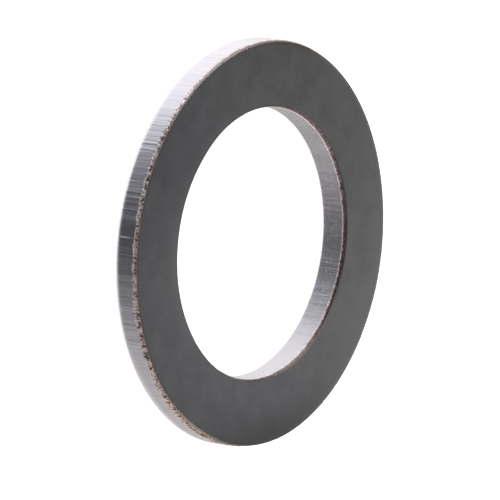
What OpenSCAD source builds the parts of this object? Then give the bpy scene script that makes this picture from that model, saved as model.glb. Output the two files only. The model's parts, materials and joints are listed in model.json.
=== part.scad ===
// Spacer washer: a flat steel ring, blanked from plate and pierced in one stroke.
// The ring lies on its back face, its axis is +Z and its origin is the middle of the back face.
// Lengths are in millimetres.
//
// One stroke of the press shears both edges the same way, so the rim and the bore share a section.
// From the back face upward each edge has a rolled corner, where the plate was drawn in, then
// a straight burnished land, and last a torn band that leans away from the land to the front face.

/* [Ring] */
// Outside diameter, across the burnished land of the rim
outer_d = 75; // [60:0.5:110]
// Diameter of the bore, across its burnished land
bore_d = 50; // [20:0.5:52]
// Thickness of the plate, from the back face to the front face
thickness = 5; // [3.5:0.1:12]

/* [Rim edge] */
// Radius of the rolled corner at the back of the rim
rim_roll_r = 1.2; // [0.2:0.05:1.5]
// Height of the torn band at the front of the rim
rim_tear_h = 1.3; // [0.3:0.05:1.8]
// How far the torn band of the rim has drawn in where it meets the front face
rim_tear_in = 0.25; // [0.05:0.05:0.8]

/* [Bore edge] */
// Radius of the rolled corner at the back of the bore
bore_roll_r = 0.4; // [0.1:0.05:1.2]
// Height of the torn band at the front of the bore
bore_tear_h = 0.55; // [0.2:0.05:1.8]
// How far the torn band of the bore has opened where it meets the front face
bore_tear_out = 0.7; // [0.05:0.05:1]

/* [Hidden] */
$fn = 180;
outer_r = outer_d / 2;
bore_r = bore_d / 2;
rim_land_top = thickness - rim_tear_h;
bore_land_top = thickness - bore_tear_h;
rim_face_r = outer_r - rim_tear_in;
bore_face_r = bore_r + bore_tear_out;
dark_steel = [0.32, 0.32, 0.33];

// What a rolled corner takes off a sharp one: the corner is at the origin, the plate up and right of it
module rolled_off(roll_r) {
    difference() {
        translate([-roll_r, -roll_r]) square(2 * roll_r);
        translate([roll_r, roll_r]) circle(roll_r);
        translate([-roll_r, roll_r]) square(2 * roll_r);
        translate([roll_r, -roll_r]) square(2 * roll_r);
    }
}

// Section of the sheared plate before its back corners roll: radius to the right, height upward
module sheared_plate() {
    polygon([
        [bore_r, 0],
        [outer_r, 0],
        [outer_r, rim_land_top],
        [rim_face_r, thickness],
        [bore_face_r, thickness],
        [bore_r, bore_land_top],
    ]);
}

// Finished section of the ring, with both back corners rolled
module ring_section() {
    difference() {
        sheared_plate();
        translate([bore_r, 0]) rolled_off(bore_roll_r);
        translate([outer_r, 0]) mirror([1, 0]) rolled_off(rim_roll_r);
    }
}

module spacer_washer() {
    color(dark_steel) rotate_extrude() ring_section();
}

spacer_washer();
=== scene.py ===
# %% [markdown]
# # A spacer washer, as the press leaves it
# The ring was blanked and pierced from rolled steel plate in one stroke. Its two flat faces keep the dark
# skin of the plate. Its two edges show how it was sheared: a rolled corner at the back, a burnished land
# with draw marks, and a torn, browned band that meets the front face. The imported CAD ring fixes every
# size. This lesson models the same section again, finely enough to tear it.

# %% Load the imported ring
import json
import math

import bmesh
import bpy
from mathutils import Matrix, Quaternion, Vector


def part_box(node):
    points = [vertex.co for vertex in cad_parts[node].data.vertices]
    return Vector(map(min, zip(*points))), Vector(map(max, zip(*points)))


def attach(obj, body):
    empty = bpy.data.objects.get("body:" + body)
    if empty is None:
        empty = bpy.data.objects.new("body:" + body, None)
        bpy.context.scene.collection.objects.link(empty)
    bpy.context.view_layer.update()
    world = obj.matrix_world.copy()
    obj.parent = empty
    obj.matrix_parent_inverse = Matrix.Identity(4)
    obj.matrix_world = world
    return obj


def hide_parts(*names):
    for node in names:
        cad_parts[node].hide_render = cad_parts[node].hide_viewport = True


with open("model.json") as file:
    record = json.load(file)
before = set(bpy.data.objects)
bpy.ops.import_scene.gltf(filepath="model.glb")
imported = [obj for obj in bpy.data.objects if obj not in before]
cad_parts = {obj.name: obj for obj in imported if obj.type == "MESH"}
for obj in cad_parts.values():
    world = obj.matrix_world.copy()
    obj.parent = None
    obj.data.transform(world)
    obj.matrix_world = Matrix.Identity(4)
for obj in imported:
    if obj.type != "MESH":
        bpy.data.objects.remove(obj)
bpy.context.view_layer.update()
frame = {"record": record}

# %% [markdown]
# ## Sizes
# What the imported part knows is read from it: the outside radius and the thickness from its box, the bore
# and the length of its land from the bore mount. The rest are the small sizes of a sheared edge. They
# could be measured on the imported mesh, but as named values they say what they are.

# %% Sizes of the ring and of its sheared edges, in metres
MM = 0.001
node_low, node_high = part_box("spacer_washer")
bore_mount = next(m for m in frame["record"]["mounts"] if m["name"] == "bore")

OUTER_R = round(node_high.x - node_low.x, 4) / 2
THICK = round(node_high.z, 5)
BORE_R = bore_mount["dims"]["r_mm"] * MM
RIM_ROLL_R = 1.2 * MM
RIM_TEAR_H = 1.3 * MM
RIM_TEAR_IN = 0.25 * MM
BORE_ROLL_R = 0.4 * MM
BORE_TEAR_H = THICK - BORE_ROLL_R - bore_mount["dims"]["length_mm"] * MM
BORE_TEAR_OUT = 0.7 * MM

RIM_LAND_TOP = THICK - RIM_TEAR_H
BORE_LAND_TOP = THICK - BORE_TEAR_H
RIM_FACE_R = OUTER_R - RIM_TEAR_IN
BORE_FACE_R = BORE_R + BORE_TEAR_OUT
MID_R = (BORE_R + OUTER_R) / 2
main_sizes = (2 * BORE_R, 2 * OUTER_R, THICK)
print("bore, outside and thickness in mm:", [round(size / MM, 2) for size in main_sizes])

# %% [markdown]
# ## The section
# A ring like this could be cut from a cylinder with booleans, but its edges are one profile carried all
# the way round. So the profile is drawn first, as a lathe hand would: a plane stood on edge is the
# plate's section, its sides are divided where the land ends, and the front corners are pulled to where
# the tear ran out. Bevels then round the back corners to the roll that the die leaves, and the end of
# each land to a small lip. The front run is cut a little way in from each edge, because there the face
# will bend down.

# %% Helpers that select by place
TOUCH = 1e-6


def near(value, target):
    return abs(value - target) < TOUCH


def radius_of(place):
    return math.hypot(place.x, place.y)


def pick(piece, test, mode="VERT"):
    """In edit mode, selects the vertices or edges whose every corner passes the test."""
    bpy.ops.mesh.select_mode(type=mode)
    bpy.ops.mesh.select_all(action="DESELECT")
    work = bmesh.from_edit_mesh(piece.data)
    for element in work.verts if mode == "VERT" else work.edges:
        corners = [element] if mode == "VERT" else element.verts
        if all(test(corner.co) for corner in corners):
            element.select_set(True)
    work.select_flush_mode()
    bmesh.update_edit_mesh(piece.data)


def at_corner(corner_r, corner_z):
    """A test for the corner of the section at this radius and height."""
    return lambda co: near(co.x, corner_r) and near(co.z, corner_z)


def move_corner(piece, corner_r, corner_z, step):
    pick(piece, at_corner(corner_r, corner_z))
    bpy.ops.transform.translate(value=step)


def round_corner(piece, corner_r, corner_z, size, rows):
    pick(piece, at_corner(corner_r, corner_z))
    bpy.ops.mesh.bevel(offset=size, segments=rows, profile=0.5, affect="VERTICES")


# %% Draw the section of the sheared plate
bpy.ops.object.select_all(action="DESELECT")
bpy.ops.mesh.primitive_plane_add(
    size=1.0, location=(MID_R, 0, THICK / 2), rotation=(math.pi / 2, 0, 0))
ring = bpy.context.active_object
ring.name = ring.data.name = "blanked_ring"
ring.scale = (OUTER_R - BORE_R, THICK, 1)
bpy.ops.object.transform_apply(location=True, rotation=True, scale=True)

bpy.ops.object.mode_set(mode="EDIT")
for side_r, land_top in ((OUTER_R, RIM_LAND_TOP), (BORE_R, BORE_LAND_TOP)):
    pick(ring, lambda co: near(co.x, side_r), "EDGE")
    bpy.ops.mesh.subdivide(number_cuts=1)
    move_corner(ring, side_r, THICK / 2, (0, 0, land_top - THICK / 2))
move_corner(ring, OUTER_R, THICK, (-RIM_TEAR_IN, 0, 0))
move_corner(ring, BORE_R, THICK, (BORE_TEAR_OUT, 0, 0))

EDGE_BAND = 1.5 * MM
THIRD = (RIM_FACE_R - BORE_FACE_R) / 3
pick(ring, lambda co: near(co.z, THICK), "EDGE")
bpy.ops.mesh.subdivide(number_cuts=2)
move_corner(ring, RIM_FACE_R - THIRD, THICK, (THIRD - EDGE_BAND, 0, 0))
move_corner(ring, BORE_FACE_R + THIRD, THICK, (EDGE_BAND - THIRD, 0, 0))

RIM_ROLL_ROWS = 5
BORE_ROLL_ROWS = 3
LIP_ROWS = 2
LIP = 0.16 * MM
round_corner(ring, OUTER_R, 0, RIM_ROLL_R, RIM_ROLL_ROWS)
round_corner(ring, BORE_R, 0, BORE_ROLL_R, BORE_ROLL_ROWS)
round_corner(ring, OUTER_R, RIM_LAND_TOP, LIP, LIP_ROWS)
round_corner(ring, BORE_R, BORE_LAND_TOP, LIP, LIP_ROWS)
bpy.ops.mesh.select_mode(type="FACE")
bpy.ops.mesh.select_all(action="SELECT")
bpy.ops.mesh.delete(type="ONLY_FACE")
bpy.ops.object.mode_set(mode="OBJECT")
print("section corners:", len(ring.data.vertices))

# %% [markdown]
# ## Rows, then one turn of the lathe
# The profile needs rows wherever the surface will be roughened or bent: many across the torn bands, some
# along the lands and the edges of the front face, none on the back face. The Spin tool could carry it
# round the axis, but it works through the whole mesh again at every step, which is slow for two thousand
# of them. A Screw modifier with no lift does the same turn at once and joins its last ring to its first.
# Then the normals are turned outwards, and the front edges are marked sharp so that the flat face shades
# flat right up to the tear.

# %% Divide the profile into rows and turn it about the axis
RIM_TEAR_ROWS = 10
BORE_TEAR_ROWS = 6
LAND_ROWS = 4
EDGE_BAND_ROWS = 4
TURN_STEPS = 2160


def divide(piece, start, end, rows):
    """Divides the straight run of the profile between two places, as (radius, height), into rows."""
    first, last = [Vector((radius, 0, height)) for radius, height in (start, end)]
    run = last - first

    def on_run(place):
        along = (place - first).dot(run) / run.length_squared
        return (place - first - run * along).length < TOUCH and abs(along - 0.5) < 0.5 + TOUCH

    pick(piece, on_run, "EDGE")
    bpy.ops.mesh.subdivide(number_cuts=rows - 1)


bpy.ops.object.mode_set(mode="EDIT")
divide(ring, (OUTER_R, RIM_LAND_TOP), (RIM_FACE_R, THICK), RIM_TEAR_ROWS)
divide(ring, (BORE_R, BORE_LAND_TOP), (BORE_FACE_R, THICK), BORE_TEAR_ROWS)
divide(ring, (OUTER_R, 0), (OUTER_R, RIM_LAND_TOP), LAND_ROWS)
divide(ring, (BORE_R, 0), (BORE_R, BORE_LAND_TOP), LAND_ROWS)
divide(ring, (RIM_FACE_R - EDGE_BAND, THICK), (RIM_FACE_R, THICK), EDGE_BAND_ROWS)
divide(ring, (BORE_FACE_R, THICK), (BORE_FACE_R + EDGE_BAND, THICK), EDGE_BAND_ROWS)
bpy.ops.object.mode_set(mode="OBJECT")
print("rows in the profile:", len(ring.data.edges))


def apply_modifier(piece, name, kind, **settings):
    """Adds a modifier, sets it and applies it, so that the piece is left as a plain mesh."""
    modifier = piece.modifiers.new(name, kind)
    for setting, value in settings.items():
        setattr(modifier, setting, value)
    bpy.context.view_layer.objects.active = piece
    bpy.ops.object.modifier_apply(modifier=name)


apply_modifier(ring, "one turn", "SCREW", axis="Z", angle=2 * math.pi, steps=TURN_STEPS,
               render_steps=TURN_STEPS, screw_offset=0, use_merge_vertices=True, merge_threshold=TOUCH)
bpy.ops.object.mode_set(mode="EDIT")
bpy.ops.mesh.select_all(action="SELECT")
bpy.ops.mesh.normals_make_consistent(inside=False)
for face_r in (RIM_FACE_R, BORE_FACE_R):
    pick(ring, lambda co: near(co.z, THICK) and near(radius_of(co), face_r), "EDGE")
    bpy.ops.mesh.mark_sharp()
bpy.ops.object.mode_set(mode="OBJECT")
print("ring faces:", len(ring.data.polygons), "corners:", len(ring.data.vertices))

# %% [markdown]
# ## Where the edge is land, where it is torn and where the plate's skin is left
# Both the roughening and the finish have to know these places. Vertex groups tell the modifiers, and mesh
# attributes tell the material. Painting them by hand would be slow and uneven, so each is worked out from
# a corner's radius and height while the ring is still perfectly round. The punch leaves the bore cleaner
# than the die leaves the rim, so the bore takes only a share of the tearing. A few deep scores cross the
# rim's land, one column of corners wide, and fade from the back edge to the tear. On one side of the rim
# the crack line, the grain of the break and the draw marks are all calmer.

# %% Helpers that tell where a corner is on the ring
def on_circle(radius, angle, height):
    """The place at this radius, angle and height. Angles are in degrees from -Y towards -X."""
    turn = math.radians(angle)
    return Vector((-radius * math.sin(turn), -radius * math.cos(turn), height))


def share(value, start, end):
    """How far a value is from start to end, held between 0 and 1."""
    return min(1.0, max(0.0, (value - start) / (end - start)))


def edge_of(radius):
    """The land's top and the roll's radius of the edge that a radius belongs to."""
    if radius > MID_R:
        return RIM_LAND_TOP, RIM_ROLL_R
    return BORE_LAND_TOP, BORE_ROLL_R


def inside_face(radius):
    return BORE_FACE_R + TOUCH < radius < RIM_FACE_R - TOUCH


def edge_fall(radius):
    """How far the front face has bent down at this radius: 0 inside its edge bands, 1 at its edges."""
    rim_side = share(radius, RIM_FACE_R - EDGE_BAND, RIM_FACE_R)
    bore_side = 1 - share(radius, BORE_FACE_R, BORE_FACE_R + EDGE_BAND)
    return max(rim_side, bore_side) ** 2


# %% Scores and calm stretches of the rim
# Angle and depth of each score, where 1 is the deepest
SCORES = ((-3.3, 1.0), (-10.6, 0.35), (-12.1, 0.25), (12.6, 0.4), (19.0, 0.3), (24.5, 0.3))
SCORE_FADE = 0.8
COLUMN = 360 / TURN_STEPS
# Angle on the rim, share that is left there, and how far the calm reaches in full and at all
CALM_LINE = (75, 0.15, 24 * MM, 38 * MM)
CALM_GRAIN = (90, 0.15, 14 * MM, 28 * MM)
CALM_MARKS = (64, 0.12, 12 * MM, 28 * MM)


def score_depth(place):
    """How deep a score is here, from 0 to 1."""
    if radius_of(place) < MID_R:
        return 0.0
    angle = math.degrees(math.atan2(-place.x, -place.y))
    depths = [depth for score, depth in SCORES if abs(angle - score) <= COLUMN / 2]
    return sum(depths) * (1 - SCORE_FADE * share(place.z, RIM_ROLL_R, RIM_LAND_TOP))


def calmed(place, angle, least, full, reach):
    """What a calm stretch of the rim leaves here: its least share in the middle, 1 beyond its reach."""
    apart = (place - on_circle(OUTER_R, angle, RIM_LAND_TOP)).length
    return least + (1 - least) * share(apart, full, reach)


calm_angles = [stretch[0] for stretch in (CALM_LINE, CALM_GRAIN, CALM_MARKS)]
print("scores:", len(SCORES), "calm stretches at:", calm_angles)

# %% Weights and attributes from the radius and height of each corner
WANDER_REACH = 1.0 * MM
BORE_SHARE = 0.35
# Shares of the torn band where the land has ended, the grain is full and it wanes, and what is then left
LAND_END = 0.3
GRAIN_FULL = 0.25
GRAIN_WANES = 0.7
FACE_EDGE_TEAR = 0.2


def add_attribute(name, domain, values):
    attribute = ring.data.attributes.new(name, "FLOAT", domain)
    attribute.data.foreach_set("value", values)


group_names = ("torn_bands", "tear_lines", "wandering", "lands", "scores", "face_edges")
groups = {name: ring.vertex_groups.new(name=name) for name in group_names}
torn_values = []
for corner in ring.data.vertices:
    height = corner.co.z
    radius = radius_of(corner.co)
    land_top, roll_r = edge_of(radius)
    on_front_face = near(height, THICK) and inside_face(radius)
    torn = 0.0 if on_front_face else share(height, land_top, THICK)
    torn_values.append(torn)
    weights = {"face_edges": edge_fall(radius)} if near(height, THICK) else {}
    if not on_front_face and height > roll_r / 2:
        land = share(height, roll_r / 2, roll_r) * (1 - share(torn, 0, LAND_END))
        tearing = 1.0 if radius > MID_R else BORE_SHARE
        grain = calmed(corner.co, *CALM_GRAIN) if radius > MID_R else BORE_SHARE
        waning = 1 - (1 - FACE_EDGE_TEAR) * share(torn, GRAIN_WANES, 1)
        weights["torn_bands"] = grain * share(torn, 0, GRAIN_FULL) * waning
        weights["tear_lines"] = tearing * min(share(height, land_top - WANDER_REACH, land_top), 1 - torn)
        weights["wandering"] = weights["tear_lines"] * calmed(corner.co, *CALM_LINE)
        weights["lands"] = land * calmed(corner.co, *CALM_MARKS)
        weights["scores"] = land * score_depth(corner.co)
    for name, weight in weights.items():
        groups[name].add([corner.index], weight, "REPLACE")

skin_values = []
for face in ring.data.polygons:
    places = [ring.data.vertices[index].co for index in face.vertices]
    flat = max(place.z for place in places) - min(place.z for place in places) < TOUCH
    for place in places:
        roll_r = edge_of(radius_of(place))[1]
        skin_values.append(1.0 if flat else 1 - share(place.z, 0, roll_r))
add_attribute("torn", "POINT", torn_values)
add_attribute("skin", "CORNER", skin_values)
print("groups:", list(groups), "attributes: torn, skin")

# %% [markdown]
# ## Front edges that run off their radius
# The tear doesn't end on a perfect circle: on some stretches the front edge stands up to a third of a
# millimetre off its mean radius. A lattice could bend it, but a short loop says more plainly what
# happens: each corner of the torn band moves in or out in proportion to how far up the band it is. How
# far each corner of the face then lies from the edge is kept as an attribute, because the finish of the
# face follows its edges.

# %% Move the front edges off their mean radius
# Radius, angle, reach and step outwards of each stretch
OFFSETS = ((RIM_FACE_R, 216, 38 * MM, 0.25 * MM), (BORE_FACE_R, -10, 42 * MM, -0.34 * MM),
           (BORE_FACE_R, -66, 20 * MM, -0.14 * MM), (BORE_FACE_R, 54, 20 * MM, -0.16 * MM))


def front_edge(place):
    """The mean radius of the front edge beside a place, and how far the edge stands off it here."""
    mean_r = RIM_FACE_R if radius_of(place) > MID_R else BORE_FACE_R
    off = 0.0
    for edge_r, angle, reach, step in OFFSETS:
        if edge_r == mean_r:
            off += step * (1 - share((place - on_circle(edge_r, angle, THICK)).length, reach / 2, reach))
    return mean_r, off


gap_values = []
for corner, torn in zip(ring.data.vertices, torn_values):
    radius = radius_of(corner.co)
    mean_r, off = front_edge(corner.co)
    gap = abs(radius + torn * off - mean_r - off) if near(corner.co.z, THICK) else EDGE_BAND
    gap_values.append(gap)
    growth = 1 + torn * off / radius
    corner.co.x *= growth
    corner.co.y *= growth
add_attribute("gap", "POINT", gap_values)
print("front edges moved on", len(OFFSETS), "stretches, attribute: gap")

# %% [markdown]
# ## Tearing and drawing the edges
# The punch burnishes the land and scores it along its travel. Then the plate cracks through, along a line
# that wanders, climbs on some stretches of the rim and dips on another, and leaves a grainy break. The
# last of it drags the edges of the front face down a little. Bump alone would leave the outline perfect,
# so Displace modifiers do this. Their cloud textures are read through an empty that is stretched along
# the axis where a pattern has to run along it. How deep each pit of the break came out is kept as an
# attribute, because brown gathers in the pits.

# %% Helpers that displace
def cloud(name, size, depth):
    """A cloud texture with lumps of about this size, in metres, and finer ones on them to this depth."""
    texture = bpy.data.textures.new(name, "CLOUDS")
    texture.noise_scale = size
    texture.noise_depth = depth
    texture.noise_type = "SOFT_NOISE"
    return texture


def halo(name):
    """A texture that is 1 in the middle of its empty and fades to 0 at its reach."""
    texture = bpy.data.textures.new(name, "BLEND")
    texture.progression = "SPHERICAL"
    return texture


def guide(place, scale):
    """An empty through whose place and scale a texture is read."""
    bpy.ops.object.select_all(action="DESELECT")
    bpy.ops.object.empty_add(location=place)
    empty = bpy.context.active_object
    empty.scale = scale
    bpy.context.view_layer.update()
    return empty


def roughen(name, texture, group, depth, direction="NORMAL", middle=0.5, along=None):
    """Displaces one vertex group by a texture, up to this depth in metres."""
    where = {"texture_coords": "LOCAL"}
    if along:
        where = {"texture_coords": "OBJECT", "texture_coords_object": along}
    apply_modifier(ring, name, "DISPLACE", texture=texture, vertex_group=group, strength=depth,
                   direction=direction, mid_level=middle, **where)


# %% Let the crack line climb, dip and wander
# Angle on the rim, reach and climb of each stretch where the crack leaves its level
STRETCHES = {"shallow": (52, 28 * MM, 1.22 * MM), "next": (95, 25 * MM, 0.8 * MM),
             "high": (-3, 18 * MM, 0.44 * MM), "crest": (-37, 10 * MM, 0.22 * MM),
             "deep": (-75, 34 * MM, -0.28 * MM)}
AXIAL_STRETCH = 60
WANDER_LUMP = 1.3 * MM
WANDER_HEIGHT = 1.0 * MM
WANDER_MIDDLE = 0.42

for name, (angle, reach, climb) in STRETCHES.items():
    stretch = guide(on_circle(OUTER_R, angle, RIM_LAND_TOP), (reach,) * 3)
    roughen(name + " stretch", halo(name), "tear_lines", climb, direction="Z", middle=0, along=stretch)
    bpy.data.objects.remove(stretch)
axial = guide((0, 0, 0), (1, 1, AXIAL_STRETCH))
roughen("tear line wanders", cloud("wander", WANDER_LUMP, depth=3), "wandering", WANDER_HEIGHT,
        direction="Z", middle=WANDER_MIDDLE, along=axial)
for corner in ring.data.vertices:
    corner.co.z = min(corner.co.z, THICK)
print("crack line moved on", len(STRETCHES), "stretches")

# %% Tear the bands, draw and score the lands, bend the edges of the face down
STEP_LUMP = 0.9 * MM
STEP_DEPTH = 0.16 * MM
GRAIN_LUMP = 0.42 * MM
GRAIN_DEPTH = 0.26 * MM
PIT = 0.08 * MM
FURROW_WIDTH = 0.5 * MM
FURROW_DEPTH = 0.018 * MM
SCORE_DEPTH = 0.10 * MM
EDGE_FALL = 0.035 * MM
SMOOTH_UP_TO = math.radians(34)

before = [(corner.co.copy(), corner.normal.copy()) for corner in ring.data.vertices]
roughen("torn steps", cloud("steps", STEP_LUMP, depth=1), "torn_bands", STEP_DEPTH)
roughen("torn grain", cloud("grain", GRAIN_LUMP, depth=2), "torn_bands", GRAIN_DEPTH)
pit_values = []
for corner, (place, normal) in zip(ring.data.vertices, before):
    pit_values.append(share((place - corner.co).dot(normal), -PIT, PIT))
add_attribute("pit", "POINT", pit_values)

roughen("draw marks", cloud("furrows", FURROW_WIDTH, depth=2), "lands", FURROW_DEPTH, along=axial)
apply_modifier(ring, "deep scores", "DISPLACE", vertex_group="scores", strength=-SCORE_DEPTH, mid_level=0)
apply_modifier(ring, "face edges fall", "DISPLACE", vertex_group="face_edges", strength=-EDGE_FALL,
               mid_level=0, direction="Z")
bpy.data.objects.remove(axial)

bpy.ops.object.select_all(action="DESELECT")
ring.select_set(True)
bpy.context.view_layer.objects.active = ring
bpy.ops.object.shade_smooth_by_angle(angle=SMOOTH_UP_TO)
print("ring box in mm:", [round(side / MM, 3) for side in ring.dimensions], "attribute: pit")

# %% [markdown]
# ## Shader formulas
# The finish is all arithmetic on noise, so a small class lets it be written as formulas: it wraps an
# output, and a sum or product of two such values adds a Math node. Every other node comes from one
# method.

# %% A value in a node tree
class Value:
    """An output in a node tree. Arithmetic on it adds Math nodes to the same tree."""

    def __init__(self, tree, socket):
        self.tree = tree
        self.socket = socket

    @classmethod
    def node(cls, tree, kind, settings=None, inputs=None, output=0):
        """Adds a node: its settings first, then the values or links of its sockets."""
        made = tree.nodes.new(kind)
        for name, setting in (settings or {}).items():
            if name == "stops":
                cls.set_stops(made.color_ramp, setting)
            else:
                setattr(made, name, setting)
        for name, given in (inputs or {}).items():
            if isinstance(given, Value):
                tree.links.new(given.socket, made.inputs[name])
            else:
                made.inputs[name].default_value = given
        return cls(tree, made.outputs[output]) if made.outputs else made

    @staticmethod
    def set_stops(ramp, stops):
        while len(ramp.elements) < len(stops):
            ramp.elements.new(1.0)
        for element, (position, colour) in zip(ramp.elements, stops):
            element.position = position
            element.color = (*colour, 1.0)

    def math(self, operation, *others):
        inputs = dict(enumerate((self, *others)))
        return Value.node(self.tree, "ShaderNodeMath", {"operation": operation}, inputs)

    def __add__(self, other):
        return self.math("ADD", other)

    def __sub__(self, other):
        return self.math("SUBTRACT", other)

    def __rsub__(self, other):
        return (self * -1) + other

    def __mul__(self, other):
        return self.math("MULTIPLY", other)

    def ramp(self, start, end):
        """0 below start, 1 above end and smooth between."""
        settings = {"interpolation_type": "SMOOTHSTEP"}
        return Value.node(self.tree, "ShaderNodeMapRange", settings,
                          {"Value": self, "From Min": start, "From Max": end})

    def toward(self, other, amount):
        """This value, moved towards another by an amount from 0 to 1."""
        return self + (other - self) * amount

    def split(self):
        """The x, y and z of a vector."""
        first = Value.node(self.tree, "ShaderNodeSeparateXYZ", {}, {"Vector": self})
        return [Value(self.tree, socket) for socket in first.socket.node.outputs]


def tint(amount, first, second):
    """The first colour where the amount is 0, the second where it is 1."""
    colours = [given if isinstance(given, Value) else (*given, 1.0) for given in (first, second)]
    # A Mix node has its factor in socket 0, its two colours in 6 and 7 and the mixed colour in output 2
    inputs = {0: amount, 6: colours[0], 7: colours[1]}
    return Value.node(amount.tree, "ShaderNodeMix", {"data_type": "RGBA"}, inputs, output=2)


def noise(place, scale, detail=2.0, roughness=0.5):
    """Noise from 0 to 1, whose scale is about how many lumps there are to a metre."""
    inputs = {"Vector": place, "Scale": scale, "Detail": detail, "Roughness": roughness}
    return Value.node(place.tree, "ShaderNodeTexNoise", {}, inputs)


def stretched(place, stretch):
    """A place whose patterns run this many times longer along the axis."""
    return Value.node(place.tree, "ShaderNodeMapping", {}, {"Vector": place, "Scale": (1, 1, 1 / stretch)})


def spot(place, middle, reach):
    """1 at the middle, fading to 0 at this reach from it."""
    apart = Value.node(place.tree, "ShaderNodeVectorMath", {"operation": "DISTANCE"}, {0: place, 1: middle},
                       output="Value")
    return 1 - apart.ramp(0, reach)


# %% [markdown]
# ## The finish
# Three finishes meet on the one ring: the burnished land, the torn break and the plate's skin. They could
# be three materials with hard borders, but the skin rubs off gradually over the rolled corners and the
# land breaks up into the tear. So each finish is a function that gives its colour, its roughness and its
# fine relief in millimetres, and one material mixes the three by the attributes, with noise at the
# borders. The press and later handling marked the edges unevenly, and some places are painted lighter
# and others darker, as painted light and painted shade. So each finish also has stretches, each an angle
# and a reach, where it differs from the rest.

# %% How much of a stretch a place has
def in_stretch(place, stretch, radius, height=THICK):
    """1 in the middle of a stretch at this radius and height, fading to 0 at the stretch's reach."""
    angle, reach = stretch
    return spot(place, on_circle(radius, angle, height), reach)


# %% [markdown]
# ### The burnished land
# The die's wall rubs the land bright and draws it along the axis, and the bore's land comes out more
# frosted. A brushed texture could be painted, but noise that is stretched along the axis gives marks that
# never repeat. The lips by the tear are painted brightest, a painted highlight on top of their real
# rounding, and two stretches of the rolled corner get a painted highlight as well. One stretch of the rim
# is scored more, one of the bore is sanded, and one of each is smooth.

# %% The burnished land
LAND_SHADES = ((0.570, 0.540, 0.575), (0.640, 0.606, 0.645))
FROSTED_SHADES = ((0.475, 0.446, 0.469), (0.635, 0.600, 0.631))
RIM_LIP_HIGHLIGHT = (0.900, 0.840, 0.855)
BORE_LIP_HIGHLIGHT = (0.860, 0.815, 0.835)
ROLL_HIGHLIGHT_SHADE = (0.850, 0.820, 0.850)
STRONG_HIGHLIGHT_SHADE = (0.980, 0.945, 0.965)
HIGHLIT_ROLL_STRETCH = (14, 30 * MM)
STRONG_HIGHLIT_ROLL_STRETCH = (-66, 24 * MM)
SCORED_LAND = (14, 14 * MM)
SMOOTH_LAND = (62, 28 * MM)
SANDED_BORE = (110, 14 * MM)
SMOOTH_BORE = (232, 19 * MM)
MID_Z = THICK / 2


def burnished_land(place, height, torn, in_bore, bore_shade, ragged):
    long_marks = noise(stretched(place, 40), scale=1700, detail=3, roughness=0.6)
    short_marks = noise(stretched(place, 12), scale=4400, detail=3, roughness=0.6)
    drawn = noise(stretched(place, 40), scale=320).ramp(0.36, 0.64)
    bore_smooth = in_stretch(place, SMOOTH_BORE, BORE_R, MID_Z)
    speckle = (ragged * (1 - bore_smooth * 0.85)).ramp(-0.2, 0.2)
    colour = tint(in_bore, tint(long_marks.ramp(0.3, 0.7), *LAND_SHADES), tint(speckle, *FROSTED_SHADES))

    on_rim = 1 - in_bore
    # Painted highlight: the lips by the tear are painted brighter, on top of the real highlight of their
    # rounding. In the bore this is less so where the bore is painted shaded.
    bore_lip_highlight = (height + ragged * (0.3 * MM)).ramp(BORE_LAND_TOP - 0.08 * MM, BORE_LAND_TOP)
    colour = tint(torn.ramp(0.0, 0.15) * on_rim, colour, RIM_LIP_HIGHLIGHT)
    colour = tint(bore_lip_highlight * (in_bore - bore_shade * 0.7), colour, BORE_LIP_HIGHLIGHT)
    # Painted highlights: two stretches of the rolled corner are painted near white, standing in for the
    # light the roll catches.
    highlit_roll = in_stretch(place, HIGHLIT_ROLL_STRETCH, OUTER_R, 0) * (1 - height.ramp(0.4 * MM, 1.1 * MM))
    strongly_highlit_roll = in_stretch(place, STRONG_HIGHLIT_ROLL_STRETCH, OUTER_R, 0) * (1 - height.ramp(0.8 * MM, 2.3 * MM))
    colour = tint(highlit_roll * on_rim, colour, ROLL_HIGHLIGHT_SHADE)
    colour = tint(strongly_highlit_roll * on_rim, colour, STRONG_HIGHLIGHT_SHADE)

    rough = short_marks * 0.12 + in_bore * 0.14 + 0.20
    relief = (long_marks * 0.075 + short_marks * (in_bore * 0.050 + 0.026)) * (drawn * 0.9 + 0.3)
    scored = in_stretch(place, SCORED_LAND, OUTER_R, MID_Z) * 0.8
    sanded = in_stretch(place, SANDED_BORE, BORE_R, MID_Z) * 1.2
    smooth = in_stretch(place, SMOOTH_LAND, OUTER_R, MID_Z) * 0.93 + bore_smooth * 0.85
    return colour, rough, relief * (scored + sanded + 1) * (1 - smooth)


# %% [markdown]
# ### The torn break
# A fresh break is pale on its grains, and oil and rust turn its pits brown. It is also browner towards
# the front face. One flat brown would look painted, so a single value says how brown each place is, from
# the depth of the pits, two noises and the way across the band, and a colour ramp turns it into a shade.
# There are two ramps, because the break is mauve on one stretch of the rim and in the bore, and rusty
# elsewhere. The other stretches are where the break is coarser, barer, calmer, more pitted or paler on
# the rim, and calmer, sooty or clean in the bore. In the bore the break is also painted darker on the -Y
# side and on one more stretch, a painted shade.

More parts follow.
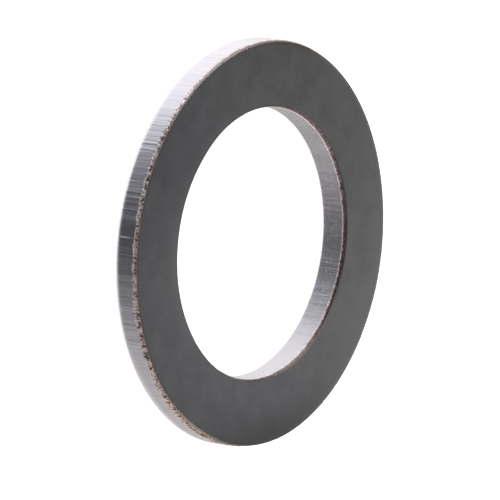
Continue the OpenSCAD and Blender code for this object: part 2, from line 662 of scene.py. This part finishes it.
# %% The torn break
RUSTY_STOPS = ((0.0, (0.870, 0.745, 0.690)), (0.45, (0.490, 0.366, 0.322)),
               (0.75, (0.200, 0.141, 0.123)), (1.0, (0.105, 0.072, 0.062)))
MAUVE_STOPS = ((0.0, (0.880, 0.780, 0.800)), (0.45, (0.465, 0.380, 0.386)),
               (0.75, (0.180, 0.140, 0.140)), (1.0, (0.100, 0.075, 0.075)))
SOOT = (0.048, 0.036, 0.036)
MAUVE_BREAK = (38, 42 * MM)
COARSE_BREAK = (-80, 22 * MM)
BARED_BREAK = (-6, 14 * MM)
CALM_BREAK = (92, 34 * MM)
PITTED_BREAK = (26, 10 * MM)
PALE_BREAK = (53, 21 * MM)
CALM_BORE = (234, 14 * MM)
SOOTY_BORE = (207, 12 * MM)
CLEAN_BORE = (107, 11 * MM)


def rim_brown(place, torn, uneven, coarse, bared):
    pitted = in_stretch(place, PITTED_BREAK, OUTER_R) * torn.ramp(0.45, 0.65)
    paler = in_stretch(place, PALE_BREAK, OUTER_R) * (1 - torn.ramp(0.7, 1.0) * 0.5)
    return (uneven + torn.ramp(0.2, 0.75) * 0.36 + coarse * (torn.ramp(0.3, 0.9) * 0.28 - 0.17)
            + pitted * 0.20 - paler * 0.40 - bared * 0.06 - 0.22)


def bore_brown(place, torn, uneven, bore_shade):
    # Painted shade: the bore's break is painted darker on the -Y side.
    shaded_minus_y = 1 - place.split()[1].ramp(1 * MM, 18 * MM)
    sooty = in_stretch(place, SOOTY_BORE, BORE_FACE_R) * torn.ramp(0.35, 0.6)
    clean = in_stretch(place, CLEAN_BORE, BORE_FACE_R) * (torn.ramp(0.45, 0.6) - torn.ramp(0.8, 0.95) * 0.6)
    return (uneven * (0.42 - bore_shade * 0.17) + 0.05 + torn.ramp(-0.1, 0.72) * (bore_shade * 0.22 + 0.55)
            + shaded_minus_y * 0.35 + sooty * 0.2 - clean * 0.15)


def torn_break(place, torn, pit, in_bore, bore_shade):
    grain = noise(stretched(place, 1.5), scale=2200, roughness=0.55)
    patchy = noise(place, scale=1100, detail=1) - 0.5
    coarse = in_stretch(place, COARSE_BREAK, OUTER_R)
    bared = in_stretch(place, BARED_BREAK, OUTER_R)
    calm = in_stretch(place, CALM_BREAK, OUTER_R) + in_stretch(place, CALM_BORE, BORE_FACE_R)
    uneven = (pit - 0.5) * 0.5 + (grain - 0.5) * (coarse * 1.2 + bared * 0.4 + 2.7) + patchy * 1.5
    uneven = uneven * (1 - calm * 0.75) + 0.3
    on_rim = rim_brown(place, torn, uneven, coarse, bared)
    brown = on_rim.toward(bore_brown(place, torn, uneven, bore_shade), in_bore)
    rusty, mauve = [Value.node(place.tree, "ShaderNodeValToRGB", {"stops": stops}, {"Fac": brown})
                    for stops in (RUSTY_STOPS, MAUVE_STOPS)]
    colour = tint(in_stretch(place, MAUVE_BREAK, OUTER_R).toward(0.8, in_bore), rusty, mauve)
    colour = tint(in_bore * brown.ramp(0.8, 1.15), colour, SOOT)
    rough = grain * 0.3 + 0.38 - in_bore * 0.16
    return colour, rough, grain * -0.15


# %% [markdown]
# ### The skin of the rolled plate
# Hot rolling leaves a thin dark oxide. It is nearly black and matt, a little bluish on one side of this
# ring, and mottled, so two noises mix two near shades. Painted light makes it lighter towards the rim on
# the +Y side, by the bore and in one patch, and painted shade darkens two patches. Along its edges the
# face is browned, darker on the -Y side and lighter on the +Y side, which is painted shade and light on a
# real browning. Where the break ends, the rim has a painted shadow line on the -Y side and a painted
# light line on the +Y side, and the bore has a painted shadow line on one stretch and a pale line on
# another. On two stretches of the rim the break frayed on into the face. An image could hold all this,
# but the distance to the edge, kept as the attribute gap, follows the real edge wherever it runs.

# %% The even part of the skin, with painted light on it
COOL_SKIN = ((0.0370, 0.0359, 0.0424), (0.0556, 0.0539, 0.0634))
PLAIN_SKIN = ((0.0380, 0.0382, 0.0404), (0.0570, 0.0573, 0.0606))
LIT_PLUS_Y_SKIN = (0.075, 0.074, 0.077)
LIT_SKIN = (0.066, 0.065, 0.070)
LIT_BY_BORE = (-15, 26 * MM)
LIT_PATCH = (-154, 15 * MM)
LIT_PATCH_R = 32 * MM


def even_skin(place, radius, plus_y, mottle, speck):
    x, y, _ = place.split()
    tone = (mottle * 0.5 + speck * 0.5).ramp(0.41, 0.59)
    colour = tint((y - x).ramp(-10 * MM, 20 * MM), tint(tone, *COOL_SKIN), tint(tone, *PLAIN_SKIN))
    # Painted light: the skin is painted lighter towards the rim on the +Y side.
    colour = tint(radius.ramp(30 * MM, 37 * MM) * plus_y * 0.35, colour, LIT_PLUS_Y_SKIN)
    # Painted light: lighter by the bore on one stretch and in one patch of the face.
    lit_by_bore = in_stretch(place, LIT_BY_BORE, BORE_FACE_R) * (1 - radius.ramp(25.5 * MM, 30.5 * MM))
    lit_patch = in_stretch(place, LIT_PATCH, LIT_PATCH_R)
    return tint(lit_by_bore * 0.8 + lit_patch * 0.35, colour, LIT_SKIN)


# %% The browned edges of the skin, with painted light and shade, and the lines along them
SHADED_BROWN = (0.048, 0.041, 0.039)
LIT_BROWN = (0.067, 0.057, 0.050)
SHADOW_LINE = (0.024, 0.016, 0.015)
LIT_RIM_LINE = (0.100, 0.088, 0.080)
PALE_BORE_LINE = (0.170, 0.135, 0.122)
SHADOW_LINED_BORE = (153, 27 * MM)
PALE_LINED_BORE = (213, 15 * MM)


def lined_edges(colour, place, gap, in_bore, bore_line, plus_y, mottle, ragged):
    rim_edge = (1 - gap.ramp(0.5 * MM, 1.5 * MM)) * (1 - in_bore)
    bore_edge = (1 - gap.ramp(0.2 * MM, 1.2 * MM)) * in_bore * plus_y
    browned = (rim_edge + bore_edge * mottle.ramp(0.4, 0.6)) * 0.8
    # Real browning, in a darker copy on the -Y side and a lighter one on the +Y side: painted shade and
    # painted light.
    colour = tint(browned, colour, tint(plus_y, SHADED_BROWN, LIT_BROWN))
    rim_line = (1 - (gap - ragged * (0.5 * MM)).ramp(0.35 * MM, 0.70 * MM)) * (1 - in_bore)
    # A painted shadow line along the rim's edge on the -Y side, and a painted light line on the +Y side.
    colour = tint(rim_line * (1 - plus_y) * 0.95, colour, SHADOW_LINE)
    colour = tint(rim_line * plus_y * 0.9, colour, LIT_RIM_LINE)
    # A painted shadow line along one stretch of the bore's edge, then a pale line along another.
    colour = tint(bore_line * in_stretch(place, SHADOW_LINED_BORE, BORE_FACE_R) * 0.95, colour, SHADOW_LINE)
    return tint(bore_line * in_stretch(place, PALE_LINED_BORE, BORE_FACE_R) * 0.95, colour, PALE_BORE_LINE)


# %% The frays where the break ran on into the face
FRAY_IN = 0.38 * MM
FRAY_SHADE = (0.140, 0.107, 0.095)
BROWN_FRAY_SHADE = (0.280, 0.212, 0.186)
BRIGHT_FRAY_SHADE = (0.420, 0.368, 0.350)
BROWN_FRAY = (-70, 16 * MM)
BRIGHT_FRAY = (56, 28 * MM)


def frayed_edge(colour, place, gap, in_bore, plus_y, ragged):
    brown = in_stretch(place, BROWN_FRAY, OUTER_R)
    bright = in_stretch(place, BRIGHT_FRAY, OUTER_R)
    inward = gap + ragged * (1.0 * MM) - (bright + brown * 0.8) * FRAY_IN
    frayed = (1 - inward.ramp(0.08 * MM, 0.24 * MM)) * (1 - plus_y) * (1 - in_bore)
    bared = tint(bright, tint(brown, FRAY_SHADE, BROWN_FRAY_SHADE), BRIGHT_FRAY_SHADE)
    return tint(frayed, colour, bared)


# %% The whole skin, with its two patches of painted shade
SHADE_PAINT = (0.014, 0.013, 0.016)
SHADED_PATCH = (-106, 28 * MM)
FAINTLY_SHADED_PATCH = (20, 24 * MM)


def plate_skin(place, radius, gap, in_bore, bore_shade, ragged):
    mottle = noise(place, scale=240, detail=4, roughness=0.6)
    speck = noise(place, scale=2400, detail=3, roughness=0.65)
    plus_y = place.split()[1].ramp(0, 15 * MM)
    bore_line = (1 - gap.ramp(0.15 * MM, 0.45 * MM)) * in_bore
    colour = even_skin(place, radius, plus_y, mottle, speck)
    colour = lined_edges(colour, place, gap, in_bore, bore_line, plus_y, mottle, ragged)
    # Painted shade: two patches of the face are painted darker, and made a little rougher.
    shaded_patches = in_stretch(place, SHADED_PATCH, OUTER_R) * radius.ramp(29 * MM, 36.5 * MM) * 0.65
    shaded_patches = shaded_patches + in_stretch(place, FAINTLY_SHADED_PATCH, OUTER_R) * 0.3
    colour = tint(shaded_patches, colour, SHADE_PAINT)
    colour = frayed_edge(colour, place, gap, in_bore, plus_y, ragged)
    rough = speck * 0.24 + 0.38 + bore_line * bore_shade * 0.45 + shaded_patches * 0.13
    return colour, rough, speck * 0.005


# %% [markdown]
# ### The three finishes in one material
# The attributes say how torn a place is and how much skin it has left. A ragged noise is added before
# they are used, so that no border is a clean line, and less of it where the crack line is calm. The steel
# is metallic, and its oxide hardly so. The fine relief goes through one Bump node.

# %% The blanked steel
SHADED_BORE = (182, 24 * MM)
CALM_BORDER = (85, 34 * MM)
SPECULAR = 0.3


def blanked_steel():
    material = bpy.data.materials.new("blanked_steel")
    material.use_nodes = True
    tree = material.node_tree
    tree.nodes.clear()
    place = Value.node(tree, "ShaderNodeTexCoord", output="Object")
    torn, skin, pit, gap = [Value.node(tree, "ShaderNodeAttribute", {"attribute_name": name}, output="Fac")
                            for name in ("torn", "skin", "pit", "gap")]
    x, y, z = place.split()
    radius = (x * x + y * y).math("SQRT")
    in_bore = 1 - radius.ramp(MID_R - MM, MID_R + MM)

    ragged = noise(place, scale=2600, detail=3, roughness=0.6) - 0.5
    # Painted shade: one stretch of the bore gets a browner, darker break, a dimmer lip and a rougher edge
    # line, standing in for shade.
    bore_shade = in_stretch(place, SHADED_BORE, BORE_FACE_R) * in_bore
    land_colour, land_rough, land_relief = burnished_land(place, z, torn, in_bore, bore_shade, ragged)
    torn_colour, torn_rough, torn_relief = torn_break(place, torn, pit, in_bore, bore_shade)
    skin_colour, skin_rough, skin_relief = plate_skin(place, radius, gap, in_bore, bore_shade, ragged)

    raggedness = 0.6 - in_stretch(place, CALM_BORDER, OUTER_R) * 0.45
    is_torn = (torn + ragged * raggedness + in_bore * 0.03).ramp(0.10, 0.28)
    is_skin = (skin + ragged * 0.2).ramp(0.72, 0.90)
    colour = tint(is_skin, tint(is_torn, land_colour, torn_colour), skin_colour)
    rough = land_rough.toward(torn_rough, is_torn).toward(skin_rough, is_skin)
    relief = land_relief.toward(torn_relief, is_torn).toward(skin_relief, is_skin)
    metal = (1 - is_torn * 0.1 - in_bore * 0.06) * (1 - is_skin * 0.85)

    bump = Value.node(tree, "ShaderNodeBump", {}, {"Strength": 1.0, "Distance": MM, "Height": relief})
    inputs = {"Base Color": colour, "Roughness": rough, "Metallic": metal, "Normal": bump,
              "Specular IOR Level": SPECULAR}
    shader = Value.node(tree, "ShaderNodeBsdfPrincipled", {}, inputs)
    Value.node(tree, "ShaderNodeOutputMaterial", {}, {"Surface": shader})
    return material


ring.data.materials.append(blanked_steel())
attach(ring, "root")
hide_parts("spacer_washer")
print("material nodes:", len(ring.data.materials[0].node_tree.nodes))

# %% [markdown]
# ## Floor, light and camera
# The ring lies flat on a pale floor, and the camera looks down on it along the photograph's own angle to
# the face, rolled so that the face points to the right. A white floor under soft light still shows a grey
# shadow, so this one also glows a little, as a light table does. It stays out of the reflections: what
# the steel shows is a soft surround that is bright on one side, fainter on the other, dark towards the
# camera and overhead, and a little brighter from underfoot. One softbox rakes the face from its far side,
# which a surround alone can't do.

# %% Floor
FLOOR_SIZE = 12.0
FLOOR_SHADE = (0.85, 0.85, 0.85, 1)
FLOOR_GLOW = 0.8
bpy.ops.object.select_all(action="DESELECT")
bpy.ops.mesh.primitive_plane_add(size=FLOOR_SIZE, location=(0, 0, 0))
floor = bpy.context.active_object
floor.name = "floor"
floor.visible_glossy = False


def pale_floor():
    material = bpy.data.materials.new("pale_floor")
    material.use_nodes = True
    tree = material.node_tree
    tree.nodes.clear()
    inputs = {"Base Color": FLOOR_SHADE, "Roughness": 1.0, "Specular IOR Level": 0.0,
              "Emission Color": (1, 1, 1, 1), "Emission Strength": FLOOR_GLOW}
    shader = Value.node(tree, "ShaderNodeBsdfPrincipled", {}, inputs)
    Value.node(tree, "ShaderNodeOutputMaterial", {}, {"Surface": shader})
    return material


floor.data.materials.append(pale_floor())
print("floor side in metres:", FLOOR_SIZE)

# %% Soft surround
BRIGHTEST = 2.0
# Share of a turn from +Y by +X, level and warmth
SIDES = ((0.00, 0.78, 0.02), (0.12, 0.69, 0.035), (0.21, 0.68, 0.015), (0.29, 0.61, 0.0),
         (0.36, 0.37, -0.015), (0.44, 0.13, -0.03), (0.49, 0.08, -0.05), (0.55, 0.21, -0.08),
         (0.61, 0.41, -0.06), (0.66, 0.92, -0.04), (0.71, 1.42, -0.025), (0.79, 1.54, -0.01),
         (0.88, 1.50, 0.0), (1.00, 0.78, 0.02))
# Levels overhead and underfoot, how steeply up or down they start, and how much of the second is mixed in
OVERHEAD = 0.12
OVERHEAD_FROM = 0.85
UNDERFOOT = 1.1
UNDERFOOT_FROM = 0.70
UNDERFOOT_SHARE = 0.2


def surround_colour(level, warmth=0.0):
    return tuple(level / BRIGHTEST * (1 + warmth * side) for side in (1, 0, -1))


def soft_surround():
    world = bpy.data.worlds.new("soft_surround")
    world.use_nodes = True
    tree = world.node_tree
    tree.nodes.clear()
    east, north, up = Value.node(tree, "ShaderNodeTexCoord", output="Generated").split()
    turn = (east * -1).math("ARCTAN2", north * -1) * (0.5 / math.pi) + 0.5
    stops = [(position, surround_colour(level, warmth)) for position, level, warmth in SIDES]
    sides = Value.node(tree, "ShaderNodeValToRGB", {"stops": stops}, {"Fac": turn})
    light = tint(up.ramp(OVERHEAD_FROM, 1.0), sides, surround_colour(OVERHEAD))
    below = (up * -1).ramp(UNDERFOOT_FROM, 1.0) * UNDERFOOT_SHARE
    light = tint(below, light, surround_colour(UNDERFOOT))
    glow = Value.node(tree, "ShaderNodeBackground", {}, {"Color": light, "Strength": BRIGHTEST})
    Value.node(tree, "ShaderNodeOutputWorld", {}, {"Surface": glow})
    return world


bpy.context.scene.world = soft_surround()
bpy.context.scene.view_settings.view_transform = "Standard"
print("surround levels:", len(SIDES))

# %% Softbox that rakes the face from its far side
SOFTBOX_AT = Vector((0.016, 0.150, 0.095))
SOFTBOX_SIZE = 0.08
SOFTBOX_WATTS = 0.066
SOFTBOX_COLOUR = (0.995, 1.0, 0.98)
bpy.ops.object.select_all(action="DESELECT")
bpy.ops.object.light_add(type="AREA", location=SOFTBOX_AT)
softbox = bpy.context.active_object
softbox.rotation_mode = "QUATERNION"
softbox.rotation_quaternion = (-SOFTBOX_AT).to_track_quat("-Z", "Y")
softbox.data.size = SOFTBOX_SIZE
softbox.data.energy = SOFTBOX_WATTS
softbox.data.color = SOFTBOX_COLOUR
print("softbox watts:", SOFTBOX_WATTS)

# %% Camera at the photograph's angle
VIEW_ELEVATION = math.radians(36.69)
VIEW_ROLL = math.radians(97.64)
VIEW_DISTANCE = 1.2763
VIEW_LENS = 503.5
VIEW_SENSOR = 36.0
VIEW_END = 10
AIM = Vector((1.5 * MM, -3.61 * MM, THICK))

bpy.ops.object.select_all(action="DESELECT")
bpy.ops.object.camera_add()
camera = bpy.context.active_object
back = Vector((0, -math.cos(VIEW_ELEVATION), math.sin(VIEW_ELEVATION)))
camera.location = AIM + back * VIEW_DISTANCE
camera.rotation_mode = "QUATERNION"
camera.rotation_quaternion = (-back).to_track_quat("-Z", "Y") @ Quaternion((0, 0, 1), VIEW_ROLL)
camera.data.lens = VIEW_LENS
camera.data.sensor_width = VIEW_SENSOR
camera.data.clip_end = VIEW_END
bpy.context.scene.camera = camera
print("camera at:", [round(c, 3) for c in camera.location])
